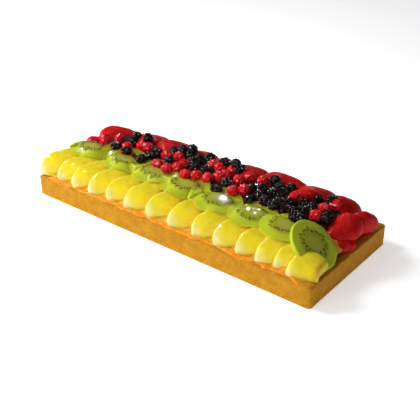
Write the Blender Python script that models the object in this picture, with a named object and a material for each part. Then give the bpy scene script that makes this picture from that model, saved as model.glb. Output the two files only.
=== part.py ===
"""A long mixed fruit tart: a golden block of crust, a low bed of custard and, lying on it, a row of
pineapple pieces, a row of kiwi slices, a heap of raspberries and brambles, and strawberry halves.

X runs along the tart, Y from the pineapple row (front) to the strawberries (back), Z up. The sizes
below are millimetres and become metres when a mesh is made. Every piece is drawn whole and then
cleared, by Boolean cuts, from the pieces that it lies on, which leaves GAP between them."""

import math
import random

import bmesh
import bpy
from mathutils import Euler, Vector

MM = 0.001
GAP = 0.3

# Crust: a solid block with rounded edges and a slightly uneven top edge
LENGTH, WIDTH, CRUST_H = 375.0, 150.0, 24.0
CORNER_R, FOOT_INSET, RIM_ROUND = 4.0, 0.9, 2.6
RIM_WAVE = 0.5

# Custard bed: half sizes and its height above the crust along Y
BED_X, BED_Y = 181.0, 68.0
BED_PROFILE = [(-68, 1.5), (-62, 6), (-52, 12), (-40, 15.5), (-20, 17.5), (15, 18),
               (40, 14.5), (54, 10), (63, 5), (68, 1)]

# Pineapple: left edge of each piece at the rim, its lift and its set-back, then the sizes of one
PINE_LEFT = [(-187, 1, 0), (-159, 0, 1), (-134, 0, 0), (-107, 0, 0), (-80, 0, 1), (-52, 0, 0),
             (-21, 0, 1), (11, 0, 0), (42, 0, 0), (70, 0, 0), (97, -0.5, 1), (120, -1.5, 1),
             (139, -4, 5), (156, -7, 1)]
PINE_W, PINE_H, PINE_Y0, PINE_Y1 = 17.0, 6.4, -74.5, -28.0
PINE_TOP = [(-74, 37), (-70, 41), (-65, 44), (-58, 46.5), (-50, 47.5), (-40, 47.7), (-28, 47.5)]
PINE_TILT, PINE_SLANT, PINE_SEAT = 0.20, 12.0, 0.4

# Kiwi: x, y, z of the middle, half length, lean away from the front and to the right (degrees)
KIWI_RY, KIWI_T = 23.0, 2.3
KIWI = [(-154, -17, 49.5, 30, 8, -4), (-99, -17, 48.5, 29, 6, 3), (-51, -20, 48.5, 29, 5, 3),
        (-3, -23, 48.5, 29, 4, 4), (45, -28, 48.0, 29, 2, 4), (91, -30, 48.0, 28, 0, 5),
        (128, -31, 48.0, 25, -1, 8), (164, -35, 41.5, 25, -6, 27)]

# Strawberries: x, y, z of the middle, half length, half width, half height, heading of the tip, dip
STRAW = [(-173, 9, 38.5, 14, 12, 10, 50, 0), (-161, 36, 40, 25.5, 20, 14.5, 35, 0),
         (-114, 48, 40, 25, 21, 13, 80, 16), (-76, 48, 40, 26, 21, 14, 65, 16),
         (-38, 49, 39, 25, 18, 13, 85, 18), (-5, 48, 39, 25, 18, 13, 100, 18),
         (34, 49, 40, 25, 21, 13, 75, 18), (77, 48, 41, 28, 22, 13, 15, 4),
         (120, 48, 40, 25, 20, 14, 65, 16), (151, 46, 39.5, 20.5, 18, 14.5, 62, 16),
         (112, 27, 52, 15, 8, 7, 215, 4), (176.5, 41, 34, 18.5, 10, 14.5, 70, 16),
         (168, 12, 36.5, 22.5, 15.5, 15, 254, 10), (178, -1, 28.5, 12.5, 7, 7.5, 52, 0)]

# Berry heap: a core, and the berries that show on it as x, y and lift of their middles
CORE_X, CORE_Y, CORE_TOP, CORE_ROUND = (-152.0, 160.0), (-13.0, 36.0), 51.5, 0.0018
HEAP_Z, HEAP_ROUND, HEAP_MID = 53.0, 0.0028, 10.0
RASPBERRY_R, BRAMBLE_R, CURRANT_R = 7.2, 6.5, 5.2
RASPBERRIES = [(-157, 7, -1), (-147, -1, 0), (-139, 15, 0), (-114, 2, 0),
               (-102, 14, 0), (-93, 15, 0), (-63, 14, 0), (-56, -9, 0), (-48, 19, 0),
               (-40, -11, 0), (-32, -3, 0), (-31, 6, 0), (-14, -11, 0), (-6, 28, 0), (-3, -5, 0),
               (5, 27, 0), (11, -3, 0), (19, 7, 0), (21, 28, 0), (23, 14, 0), (41, 13, 0),
               (45, 28, 0), (50, -9, 0), (58, -1, 0), (61, 30, 0), (110, 15, 0), (144, 15, 0),
               (145, -1, 0), (150, 30, 2)]
BRAMBLES = [(-126, -4, 0), (-125, 30, 3), (-116, 12, 0), (-107, 31, 5), (-108, -6, 0),
            (-79, -10, 0), (-75, 12, 0), (-74, -2, 0), (-63, 28, 1), (-53, 31, 5), (-48, 2, 0),
            (-40, 33, 8), (-38, 30, 3), (-28, 17, 0), (-25, 28, 1), (-14, 33, 5), (-18, 10, 0),
            (-2, 11, 0), (7, 33, 5), (22, 33, 8), (28, 32, 4), (32, -15, 0), (34, 1, 0),
            (74, 33, 4), (73, 12, 0), (78, -1, 0), (83, 29, 0), (86, 12, 0), (89, -7, 0),
            (96, 19, 0), (96, 31, 2), (99, 6, 0), (100, -8, 0), (104, -1, 0), (111, 3, 0),
            (113, -6, 0), (123, 13, 0), (124, -8, 0), (130, -16, 0), (131, -1, 0), (135, -14, 0),
            (135, 10, 0), (145, 32, 4), (149, -17, 0), (154, 2, 0)]
CURRANTS = [(61, 9, 0), (73, -12, 0), (130, 30, 1), (153, 9, 0)]


def curve(points, t):
    """The value at t of a line through the points, held level beyond its ends."""
    if t <= points[0][0]:
        return points[0][1]
    for (t0, a), (t1, b) in zip(points, points[1:]):
        if t <= t1:
            return a + (b - a) * (t - t0) / (t1 - t0)
    return points[-1][1]


def superellipse(angle, power):
    """A point of a unit squarish circle: power 2 is round, higher is squarer."""
    c, s = math.cos(angle), math.sin(angle)
    k = (abs(c) ** power + abs(s) ** power) ** (-1.0 / power)
    return c * k, s * k


def new_object(name, points, faces, colour=None, roughness=0.4):
    mesh = bpy.data.meshes.new(name)
    mesh.from_pydata([Vector(p) * MM for p in points], [], faces)
    mesh.validate()
    shape = bmesh.new()
    shape.from_mesh(mesh)
    bmesh.ops.triangulate(shape, faces=shape.faces)
    bmesh.ops.recalc_face_normals(shape, faces=shape.faces)
    shape.to_mesh(mesh)
    shape.free()
    obj = bpy.data.objects.new(name, mesh)
    bpy.context.scene.collection.objects.link(obj)
    if colour:
        mesh.materials.append(material(name, colour, roughness))
    return obj


def material(name, colour, roughness):
    found = bpy.data.materials.new(name)
    found.use_nodes = True
    shader = found.node_tree.nodes["Principled BSDF"]
    shader.inputs["Base Color"].default_value = (*colour, 1.0)
    shader.inputs["Roughness"].default_value = roughness
    return found


def loft(rings):
    """Points and faces of a closed skin over rings of one count. A ring of one point is a pole."""
    points, faces, starts = [], [], []
    for ring in rings:
        starts.append(len(points))
        points += ring
    for low, high, a, b in zip(rings, rings[1:], starts, starts[1:]):
        count = max(len(low), len(high))
        for i in range(count):
            j = (i + 1) % count
            face = [a + i, a + j, b + j, b + i]
            if len(low) == 1:
                face = [a, b + j, b + i]
            elif len(high) == 1:
                face = [a + i, a + j, b]
            faces.append(face)
    for ring, start in ((rings[0], starts[0]), (rings[-1], starts[-1])):
        if len(ring) > 1:
            faces.append([start + i for i in range(len(ring))])
    return points, faces


def placed(points, centre, turn):
    """The points turned by XYZ degrees and moved to the centre."""
    matrix = Euler([math.radians(t) for t in turn]).to_matrix()
    return [matrix @ Vector(p) + Vector(centre) for p in points]


def rounded_rectangle(half_x, half_y, radius, z, steps_x=20, steps_y=8, steps_r=3):
    """One ring of a rounded rectangle, with extra points along its sides."""
    points = []
    for sx, sy, start in ((1, 1, 0), (-1, 1, 90), (-1, -1, 180), (1, -1, 270)):
        cx, cy = sx * (half_x - radius), sy * (half_y - radius)
        for k in range(steps_r + 1):
            angle = math.radians(start + 90 * k / steps_r)
            points.append((cx + radius * math.cos(angle), cy + radius * math.sin(angle), z))
        along_x = sx == sy
        span = (half_x if along_x else half_y) - radius
        steps = steps_x if along_x else steps_y
        for k in range(1, steps):
            t = span - 2 * span * k / steps
            if along_x:
                points.append((sx * t, sy * half_y, z))
            else:
                points.append((sx * half_x, -sx * t, z))
    return points


def make_crust():
    """A block from the foot up over a rounded, slightly wavy rim to the flat top."""
    draw = random.Random(4)
    waves = [(draw.uniform(0.02, 0.09), draw.uniform(0, 6.3), draw.uniform(0.3, 1)) for _ in range(5)]
    levels = [(FOOT_INSET, 0.0, 0.0), (0.0, CRUST_H * 0.45, 0.0), (0.0, CRUST_H - RIM_ROUND, 0.4),
              (RIM_ROUND * 0.3, CRUST_H - RIM_ROUND * 0.3, 1.0), (RIM_ROUND, CRUST_H, 1.0)]
    rings = []
    for inset, z, wave in levels:
        ring = []
        for x, y, z0 in rounded_rectangle(LENGTH / 2 - inset, WIDTH / 2 - inset, CORNER_R, z):
            lift = sum(a * math.sin(f * (x + 1.7 * y) + p) for f, p, a in waves) / 2.5
            ring.append((x, y, z0 - wave * RIM_WAVE * (1 + lift)))
        rings.append(ring)
    rings.append([(x * 0.9, y * 0.85, CRUST_H - RIM_WAVE) for x, y, _ in rings[-1]])
    return new_object("crust", *loft(rings), (0.80, 0.50, 0.14), 0.8)


def make_custard():
    """A low dome: the profile along Y, falling away at both ends."""
    base = CRUST_H + GAP
    ends = [0, 3, 8, 16, 30]
    xs = [-BED_X + e for e in ends] + [-90, -30, 30, 90] + [BED_X - e for e in reversed(ends)]
    rings = []
    for x in xs:
        edge = min(1.0, (BED_X - abs(x)) / 30)
        fall = 0.08 + 0.92 * math.sqrt(1 - (1 - edge) ** 2)
        reach = BED_Y * (0.97 + 0.03 * fall)
        ring = [(x, y * reach / BED_Y, base + h * fall) for y, h in BED_PROFILE]
        rings.append(ring + [(x, reach, base), (x, -reach, base)])
    return new_object("custard", *loft(rings), (0.90, 0.68, 0.25), 0.4)


def make_pineapple(index, left, lift, back):
    """A blunt wedge: wide and thick at the rim, narrowing as it climbs, its left edge raised. Its
    outer end is cut on the slant and sits on the crust."""
    draw = random.Random(40 + index)
    width = PINE_W * draw.uniform(0.96, 1.04) * (1 + 0.02 * min(lift, 0))
    middle, shift = left + width, draw.uniform(4, 7)
    y0, y1 = PINE_Y0 + back, PINE_Y1 + 2 * min(lift, 0)
    rings = []
    steps = 8
    for k in range(steps + 1):
        t = -math.cos(math.pi * k / steps)
        full = (1 - abs(t) ** 7) ** (1 / 7) if 0 < k < steps else 0.0
        along = (t + 1) / 2
        y = y0 + (y1 - y0) * along
        half = width * full * (1 - 0.45 * along ** 1.5)
        high = PINE_H * full
        x, seated = middle + shift * along ** 2, max(0.0, 1 - along / PINE_SEAT)
        ring = []
        for i in range(12):
            c, s = superellipse(math.tau * (i + 0.5) / 12, 3.5)
            back = y + PINE_SLANT * (c * full + 1) / 2 * (1 - along) ** 1.3
            z = curve(PINE_TOP, back) - PINE_H - 2.5 + lift + s * high - PINE_TILT * c * half
            if s < -0.5:
                z += (CRUST_H - 1.0 - z) * seated * full
            ring.append((x + c * half, back, z))
        rings.append(ring if full else ring[:1])
    return new_object(f"pineapple_{index:02d}", *loft(rings), (0.92, 0.80, 0.12), 0.25)


def make_kiwi(index, x, y, z, half_x, lean_back, lean_right):
    """A thin oval slice with rounded edges, sagging a little at both ends."""
    draw = random.Random(80 + index)
    layers = [(0.0, -1), (0.9, -1), (1.0, -0.2), (0.92, 1), (0.5, 1), (0.0, 1)]
    rings = []
    for reach, level in layers:
        ring = []
        for i in range(18 if reach else 1):
            angle = math.tau * i / 18
            px = half_x * reach * math.cos(angle)
            py = KIWI_RY * reach * math.sin(angle)
            ring.append((px, py, KIWI_T * level - 0.0022 * px * px - 0.002 * py * py))
        rings.append(ring)
    points, faces = loft(rings)
    turn = (-lean_back, lean_right, draw.uniform(-8, 8))
    return new_object(f"kiwi_{index:02d}", placed(points, (x, y, z), turn), faces,
                      (0.45, 0.58, 0.08), 0.25)


def make_strawberry(index, x, y, z, half, wide, high, heading, dip):
    """A berry lying on its cut face: blunt at the stalk, narrowing to the tip."""
    rings = []
    steps = 7
    for k in range(steps + 1):
        t = -math.cos(math.pi * k / steps)
        full = (1 - abs(t) ** 2.4) ** (1 / 2.4) * (1 - 0.22 * t) / 1.04 if 0 < k < steps else 0.0
        ring = []
        for i in range(12):
            angle = math.tau * i / 12
            low = 0.75 if math.sin(angle) < 0 else 1.0
            ring.append((half * t, wide * full * math.cos(angle), high * full * math.sin(angle) * low))
        rings.append(ring if full else ring[:1])
    points, faces = loft(rings)
    return new_object(f"strawberry_{index:02d}", placed(points, (x, y, z), (0, dip, heading)), faces,
                      (0.62, 0.02, 0.03), 0.25)


def ball(name, centre, radius, turn):
    """One few-sided berry of the heap."""
    shape = bmesh.new()
    bmesh.ops.create_icosphere(shape, subdivisions=1, radius=1.0)
    shape.verts.index_update()
    points = [v.co * radius * 1.06 for v in shape.verts]
    faces = [[v.index for v in f.verts] for f in shape.faces]
    shape.free()
    return new_object(name, placed(points, centre, turn), faces)


def make_core():
    """The heap's core: a low dome that reaches from the kiwi to the strawberries."""
    (x0, x1), (y0, y1) = CORE_X, CORE_Y
    rings = []
    steps = 12
    for k in range(steps + 1):
        t = -1 + 2 * k / steps
        full = (1 - abs(t) ** 6) ** (1 / 6) if 0 < k < steps else 0.5
        middle, half = (y0 + y1) / 2, (y1 - y0) / 2 * full
        xs, low = (x0 + x1) / 2 + (x1 - x0) / 2 * t, CORE_TOP - 14
        ring = [(xs, middle - half, low), (xs, middle + half, low)]
        for i in range(6):
            y = middle + half * (1 - 2 * i / 5)
            drop = CORE_ROUND * (y - 18) ** 2 + 5 * (1 - full) + (2 if i in (0, 5) else 0)
            ring.append((xs, y, CORE_TOP - drop - 0.0035 * max(0.0, xs - 130) ** 2))
        rings.append(ring)
    return new_object("berry_heap", *loft(rings), (0.16, 0.02, 0.03), 0.25)


def berries():
    """The heap's berries, few-sided, standing half out of the core."""
    draw = random.Random(7)
    made = []
    for places, radius in ((RASPBERRIES, RASPBERRY_R), (BRAMBLES, BRAMBLE_R), (CURRANTS, CURRANT_R)):
        for x, y, lift in places:
            r = radius * draw.uniform(0.95, 1.05)
            z = HEAP_Z + lift - HEAP_ROUND * (y - HEAP_MID) ** 2 - 0.0035 * max(0.0, x - 130) ** 2
            turn = [draw.uniform(-180, 180) for _ in range(3)]
            made.append(ball("berry", (x, y, z), r, turn))
    return made


def apply_boolean(obj, operation, others, solver):
    """One Boolean of obj with a collection of the others, applied. The others are removed."""
    group = bpy.data.collections.new("operands")
    bpy.context.scene.collection.children.link(group)
    for other in others:
        bpy.context.scene.collection.objects.unlink(other)
        group.objects.link(other)
    cut = obj.modifiers.new("boolean", "BOOLEAN")
    cut.operation = operation
    cut.operand_type = "COLLECTION"
    cut.collection = group
    cut.solver = solver
    bpy.context.view_layer.update()
    done = bpy.data.meshes.new_from_object(obj.evaluated_get(bpy.context.evaluated_depsgraph_get()))
    obj.modifiers.clear()
    old = obj.data
    done.materials.clear()
    for slot in old.materials:
        done.materials.append(slot)
    obj.data = done
    bpy.data.meshes.remove(old)
    for other in others:
        bpy.data.objects.remove(other)
    bpy.data.collections.remove(group)


def lighter(obj, share):
    """Collapses the smallest edges that the union left, down to a share of the triangles."""
    less = obj.modifiers.new("lighter", "DECIMATE")
    less.ratio = share
    bpy.context.view_layer.update()
    done = bpy.data.meshes.new_from_object(obj.evaluated_get(bpy.context.evaluated_depsgraph_get()))
    obj.modifiers.clear()
    old = obj.data
    obj.data = done
    bpy.data.meshes.remove(old)


def grown(mesh):
    """A copy of a mesh, as a new object, with every point GAP further out."""
    points = [(v.co + v.normal * GAP * MM * 1.08) / MM for v in mesh.vertices]
    return new_object("cutter", points, [list(p.vertices) for p in mesh.polygons])


def reaches(mesh):
    low = [min(v.co[k] for v in mesh.vertices) for k in range(3)]
    high = [max(v.co[k] for v in mesh.vertices) for k in range(3)]
    return low, high


def near(first, second):
    (a, b), (c, d) = reaches(first), reaches(second)
    return all(a[k] < d[k] + MM and c[k] < b[k] + MM for k in range(3))


def keep_largest(obj):
    """Drops the loose scraps that a cut leaves."""
    shape = bmesh.new()
    shape.from_mesh(obj.data)
    bmesh.ops.triangulate(shape, faces=shape.faces)
    seen, bodies = set(), []
    for first in shape.verts:
        if first in seen:
            continue
        body, queue = [], [first]
        seen.add(first)
        while queue:
            vert = queue.pop()
            body.append(vert)
            for edge in vert.link_edges:
                other = edge.other_vert(vert)
                if other not in seen:
                    seen.add(other)
                    queue.append(other)
        bodies.append(body)
    bodies.sort(key=len)
    for body in bodies[:-1]:
        bmesh.ops.delete(shape, geom=body, context="VERTS")
    shape.to_mesh(obj.data)
    shape.free()


def clear_of(obj, lower):
    """Cuts obj back to GAP above each of the whole shapes that lie under or beside it."""
    cutters = [grown(mesh) for mesh in lower if near(obj.data, mesh)]
    for cutter in cutters:
        apply_boolean(obj, "DIFFERENCE", [cutter], "EXACT")
        keep_largest(obj)


def main():
    for old in list(bpy.data.objects):
        bpy.data.objects.remove(old)
    crust = make_crust()
    stack = [make_custard()]
    stack += [make_pineapple(i, *place) for i, place in enumerate(PINE_LEFT, 1)]
    stack += [make_kiwi(i, *sizes) for i, sizes in enumerate(KIWI, 1)]
    stack += [make_strawberry(i, *sizes) for i, sizes in enumerate(STRAW, 1)]
    heap = make_core()
    apply_boolean(heap, "UNION", berries(), "MANIFOLD")
    keep_largest(heap)
    lighter(heap, 0.62)
    stack.append(heap)
    whole = [crust.data]
    for piece in stack:
        uncut = piece.data.copy()
        clear_of(piece, whole)
        whole.append(uncut)
    for mesh in whole[1:]:
        bpy.data.meshes.remove(mesh)


main()
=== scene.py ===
# %% [markdown]
# # A long mixed fruit tart
#
# The real thing is a block of golden crust about as long as a forearm. On it lies a low bed of
# custard, and on that four rows of fruit: pineapple pieces at the front, kiwi slices, a heap of
# raspberries and brambles, and strawberry halves at the back. Clear glaze covers all the fruit.
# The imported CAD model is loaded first, as a fixed frame. Every piece below stands where its CAD
# node stands, and replaces it with the shape and finish of the real food. All units are metres.

# %% Load the frame
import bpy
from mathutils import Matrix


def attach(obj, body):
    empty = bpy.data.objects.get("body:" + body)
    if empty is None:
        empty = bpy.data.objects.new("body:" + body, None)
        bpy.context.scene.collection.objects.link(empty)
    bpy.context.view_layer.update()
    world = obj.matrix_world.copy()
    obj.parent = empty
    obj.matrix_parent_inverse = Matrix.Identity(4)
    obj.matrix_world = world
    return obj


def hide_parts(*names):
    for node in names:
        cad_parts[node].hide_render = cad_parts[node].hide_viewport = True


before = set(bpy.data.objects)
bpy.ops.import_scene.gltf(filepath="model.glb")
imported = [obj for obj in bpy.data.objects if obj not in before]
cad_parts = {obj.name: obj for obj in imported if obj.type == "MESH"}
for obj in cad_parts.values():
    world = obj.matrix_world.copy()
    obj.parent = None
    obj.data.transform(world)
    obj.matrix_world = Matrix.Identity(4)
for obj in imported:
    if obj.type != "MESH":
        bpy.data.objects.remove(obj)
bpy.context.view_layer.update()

import math
import random

import bmesh
import bpy
from mathutils import Euler, Matrix, Vector, kdtree
from mathutils import noise as mathnoise

MM = 0.001
print("CAD nodes:", len(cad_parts))

# %% [markdown]
# ## Working by hand, in code
#
# Blender's operators act on what is selected, so each helper starts by deselecting everything. A
# piece is begun from a primitive, shaped in edit mode on points, edges or faces picked by their
# place, and finished with modifiers that are applied at once. Every piece has its place in its mesh,
# at the origin, because its transforms are applied as it is added or copied. One helper turns a
# finished piece's faces outwards, shades it smooth and ties it to the CAD body.

# %% Helpers for shaping
def alone(piece):
    """Selects one object and nothing else."""
    bpy.ops.object.select_all(action="DESELECT")
    piece.select_set(True)
    bpy.context.view_layer.objects.active = piece


def begin(add, name, **sizes):
    """Adds a primitive at its size and place, and names it."""
    bpy.ops.object.select_all(action="DESELECT")
    add(**sizes)
    piece = bpy.context.active_object
    piece.name = piece.data.name = name
    bpy.ops.object.transform_apply(location=True, rotation=True, scale=True)
    return piece


def edit(piece):
    alone(piece)
    bpy.ops.object.mode_set(mode="EDIT")


def done():
    bpy.ops.object.mode_set(mode="OBJECT")


def choose(piece, kind, test):
    """In edit mode, selects the VERT, EDGE or FACE elements that pass the test."""
    bpy.ops.mesh.select_mode(type=kind)
    bpy.ops.mesh.select_all(action="DESELECT")
    shape = bmesh.from_edit_mesh(piece.data)
    for element in {"VERT": shape.verts, "EDGE": shape.edges, "FACE": shape.faces}[kind]:
        if test(element):
            element.select_set(True)
    bmesh.update_edit_mesh(piece.data)


def runs(axis, longer_than=0.0):
    """A test for edges that run along an axis and are longer than a length."""
    def test(edge):
        way = edge.verts[1].co - edge.verts[0].co
        return way.length > longer_than and abs(way[axis]) > 0.97 * way.length
    return test


def levels(piece, axis, digits=6):
    """In edit mode, the places along an axis where the piece has points."""
    return sorted({round(v.co[axis], digits) for v in bmesh.from_edit_mesh(piece.data).verts})


def move_points(piece, rule):
    """In object mode, takes every point to where a rule sends it."""
    for point in piece.data.vertices:
        point.co = rule(point.co.copy())


def modify(piece, kind, **settings):
    """Adds one modifier and applies it."""
    alone(piece)
    step = piece.modifiers.new(kind.lower(), kind)
    for name, value in settings.items():
        setattr(step, name, value)
    bpy.ops.object.modifier_apply(modifier=step.name)


def roughen(piece, size, depth, stretch=(1, 1, 1), turn=(0, 0, 0), level=0.5, group="",
            pattern="CLOUDS", shift=(0, 0, 0)):
    """Displaces the surface by a cloudy pattern of a given size, which may be stretched."""
    space = bpy.data.objects.new("pattern_space", None)
    bpy.context.scene.collection.objects.link(space)
    space.scale = [size * s for s in stretch]
    space.rotation_euler = [math.radians(t) for t in turn]
    space.location = shift
    bpy.context.view_layer.update()
    texture = bpy.data.textures.new("pattern", pattern)
    texture.noise_scale = 1.0
    modify(piece, "DISPLACE", texture=texture, texture_coords="OBJECT", texture_coords_object=space,
           strength=depth, mid_level=level, vertex_group=group)
    bpy.data.objects.remove(space)
    bpy.data.textures.remove(texture)


def copy_of(piece, name, place=(0, 0, 0), turn=(0, 0, 0), size=(1, 1, 1)):
    """A copy with its own mesh, in which it is sized, turned (degrees) and then moved."""
    other = piece.copy()
    other.data = piece.data.copy()
    other.name = other.data.name = name
    bpy.context.scene.collection.objects.link(other)
    other.location = place
    other.rotation_euler = [math.radians(t) for t in turn]
    other.scale = size
    alone(other)
    bpy.ops.object.transform_apply(location=True, rotation=True, scale=True)
    return other


def joined(pieces, name):
    """Several objects as one."""
    bpy.ops.object.select_all(action="DESELECT")
    for piece in pieces:
        piece.select_set(True)
    bpy.context.view_layer.objects.active = pieces[0]
    bpy.ops.object.join()
    pieces[0].name = pieces[0].data.name = name
    return pieces[0]


def settle(piece, slot, *nodes):
    """The last steps of every piece: faces outwards, smooth, and tied to the CAD."""
    edit(piece)
    bpy.ops.mesh.select_all(action="SELECT")
    bpy.ops.mesh.normals_make_consistent(inside=False)
    done()
    bpy.ops.object.shade_smooth()
    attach(piece, "root")
    if nodes:
        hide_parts(*nodes)
    return piece


def curve(points, t):
    """The value at t of a line through the points, held level beyond its ends."""
    if t <= points[0][0]:
        return points[0][1]
    for (t0, a), (t1, b) in zip(points, points[1:]):
        if t <= t1:
            return a + (b - a) * (t - t0) / (t1 - t0)
    return points[-1][1]


print("helpers ready")

# %% [markdown]
# ## Working with nodes
#
# A food surface is never one flat colour. Each material below starts from the shader's own sockets
# for what is the same all over (roughness, glaze, light that enters the flesh) and adds noise for
# colour and bump. Patterns read Object coordinates in millimetres, so their sizes are true, or the
# piece's own UV map where they follow its shape.

# %% Helpers for materials
def srgb(red, green, blue):
    """A colour as picked on a screen, 0 to 255, as the shader wants it."""
    parts = [c / 255 for c in (red, green, blue)]
    return (*[c / 12.92 if c <= 0.04045 else ((c + 0.055) / 1.055) ** 2.4 for c in parts], 1.0)


def recipe(name, **constants):
    """A new material with constants on its shader. Returns the material, its nodes and shader."""
    made = bpy.data.materials.new(name)
    made.use_nodes = True
    shader = made.node_tree.nodes["Principled BSDF"]
    for key, value in constants.items():
        shader.inputs[key.replace("_", " ")].default_value = value
    return made, made.node_tree, shader


def node(tree, kind, inputs=None, **settings):
    """Adds a node. An input given as a socket is linked, and any other value is set."""
    made = tree.nodes.new("ShaderNode" + kind)
    for key, value in settings.items():
        setattr(made, key, value)
    for key, value in (inputs or {}).items():
        if isinstance(value, bpy.types.NodeSocket):
            tree.links.new(value, made.inputs[key])
        else:
            made.inputs[key].default_value = value
    return made


def millimetres(tree):
    """Object coordinates in millimetres."""
    here = node(tree, "TexCoord").outputs["Object"]
    return node(tree, "VectorMath", {0: here, "Scale": 1000.0}, operation="SCALE").outputs[0]


def noise(tree, where, size, detail=3.0, roughness=0.5):
    """Noise whose patches are about size across, 0 to 1."""
    inputs = {"Vector": where, "Scale": 1.0 / size, "Detail": detail, "Roughness": roughness}
    return node(tree, "TexNoise", inputs).outputs["Fac"]


def stretched(tree, where, scale):
    return node(tree, "Mapping", {"Vector": where, "Scale": scale}).outputs[0]


def span(tree, value, low, high, to_low=0.0, to_high=1.0):
    """Maps a range of values to another, smoothly and clamped."""
    inputs = {"Value": value, "From Min": low, "From Max": high, "To Min": to_low,
              "To Max": to_high}
    return node(tree, "MapRange", inputs, interpolation_type="SMOOTHSTEP").outputs[0]


def mixed(tree, factor, first, second):
    """Colour first where factor is 0, second where it is 1."""
    return node(tree, "Mix", {0: factor, 6: first, 7: second}, data_type="RGBA").outputs[2]


def maths(tree, operation, first, second):
    return node(tree, "Math", {0: first, 1: second}, operation=operation).outputs[0]


def bumped(tree, height, distance, strength=1.0):
    """A normal from a height, with the distance in metres."""
    inputs = {"Height": height, "Distance": distance, "Strength": strength}
    return node(tree, "Bump", inputs).outputs[0]


def plug(tree, shader, **sockets):
    """Links values to the shader's sockets."""
    for key, value in sockets.items():
        tree.links.new(value, shader.inputs[key.replace("_", " ")])


def two_tone(name, dark, light, patch, patch_top, bump, **constants):
    """A material in two shades, in patches of one size, with a bump (size, detail, distance,
    strength). Returns what recipe returns."""
    made, tree, shader = recipe(name, **constants)
    where = millimetres(tree)
    patches = span(tree, noise(tree, where, patch, 3.0), 0.35, patch_top)
    size, detail, distance, strength = bump
    plug(tree, shader, Base_Color=mixed(tree, patches, dark, light),
         Normal=bumped(tree, noise(tree, where, size, detail), distance, strength))
    return made, tree, shader


def wear(piece, material):
    piece.data.materials.clear()
    piece.data.materials.append(material)


GLAZE = {"Coat_Weight": 0.7, "Coat_Roughness": 0.03, "Coat_IOR": 1.35, "Specular_IOR_Level": 0.0}
print("material helpers ready")

# %% [markdown]
# ## The crust
#
# The crust is one golden block with softly rounded edges and a fine, even crumb on its sides. A
# cube is cut finely along its three axes, and the cuts in the middle of its top and underside are
# dissolved again, because the custard hides the one and the table the other. One rule then rounds
# the corners, the rim and the foot. Two displacements give the slight waviness and the crumb, both
# inwards, so the block stays within its size.

# %% Shape of the crust
LENGTH, WIDTH, CRUST_H = 375.0 * MM, 150.0 * MM, 24.0 * MM
CORNER_R, RIM_ROUND, FOOT_ROUND = 4.0 * MM, 2.6 * MM, 0.8 * MM
RIM_WIDE, CRUMB = 17.0 * MM, 0.9 * MM

crust = begin(bpy.ops.mesh.primitive_cube_add, "tart_crust", size=1.0, location=(0, 0, CRUST_H / 2),
              scale=(LENGTH, WIDTH, CRUST_H))
edit(crust)
for axis, length in ((0, LENGTH), (1, WIDTH), (2, CRUST_H)):
    choose(crust, "EDGE", runs(axis, length * 0.6))
    bpy.ops.mesh.subdivide(number_cuts=int(length / CRUMB) - 1)
for side, margin in ((1, RIM_WIDE), (-1, 3 * MM)):
    def hidden(face):
        spot = face.calc_center_median()
        return (side * face.normal.z > 0.99 and abs(spot.x) < LENGTH / 2 - margin
                and abs(spot.y) < WIDTH / 2 - margin)
    choose(crust, "FACE", hidden)
    bpy.ops.mesh.dissolve_faces()
done()


def rounded(point):
    """Rounds the four corners in plan, and then the rim and the foot all round."""
    sides = ((0, LENGTH / 2), (1, WIDTH / 2))
    out = Vector([max(0.0, abs(point[k]) - half + CORNER_R) for k, half in sides])
    if out.length == 0:
        return point
    way, reach = out.normalized(), max(out)
    for round_by, level in ((RIM_ROUND, point.z - CRUST_H), (FOOT_ROUND, -point.z)):
        across, upward = reach - CORNER_R + round_by, level + round_by
        if across > 0 and upward > 0:
            shrink = max(across, upward) / math.hypot(across, upward)
            reach += across * (shrink - 1)
            point.z += upward * (shrink - 1) * (1 if round_by == RIM_ROUND else -1)
    for k, half in sides:
        if out[k] > 0:
            point[k] = math.copysign(half - CORNER_R + way[k] * reach, point[k])
    return point


move_points(crust, rounded)
group = crust.vertex_groups.new(name="above_foot")
for point in crust.data.vertices:
    group.add([point.index], min(1.0, max(0.0, point.co.z / (2 * MM))), "REPLACE")
roughen(crust, 30 * MM, 1.4 * MM, level=1.0, group="above_foot")
roughen(crust, 2.2 * MM, 0.55 * MM, level=0.9, group="above_foot", pattern="STUCCI")
settle(crust, "crust", "crust")
print("crust faces:", len(crust.data.polygons))

# %% [markdown]
# Baked shortcrust is golden with paler and browner patches of a few millimetres, and matt. Its top
# edge, where the oven reaches it, is darker, which this finish leaves out. Yellow matters here: too
# much red turns it to clay.

# %% Finish of the crust
golden, tree, shader = recipe("golden_crust", Roughness=0.75, Specular_IOR_Level=0.12)
where = millimetres(tree)
patches = span(tree, noise(tree, where, 9.0, 4.0, 0.6), 0.35, 0.68)
colour = mixed(tree, patches, srgb(206, 138, 22), srgb(222, 157, 33))
grains = span(tree, noise(tree, where, 1.3, 2.0), 0.45, 0.75)
colour = mixed(tree, maths(tree, "MULTIPLY", grains, 0.8), colour, srgb(240, 184, 64))
spots = span(tree, noise(tree, where, 2.6, 3.0, 0.7), 0.56, 0.75)
colour = mixed(tree, maths(tree, "MULTIPLY", spots, 0.75), colour, srgb(178, 102, 18))
crumb = maths(tree, "ADD", noise(tree, where, 0.9, 3.0, 0.7), noise(tree, where, 2.4, 2.0))
plug(tree, shader, Base_Color=colour, Normal=bumped(tree, crumb, 0.0012))
wear(crust, golden)
print("golden crust finished")

# %% [markdown]
# ## The custard bed
#
# A low bed of set custard carries the fruit and shows only at its edges and between pieces. It is a
# cube cut into rows along its width, each row moved to its height, and then rounded by subdivision.
# Its foot reaches a little into the crust, so no gap is left under its edge.

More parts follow.
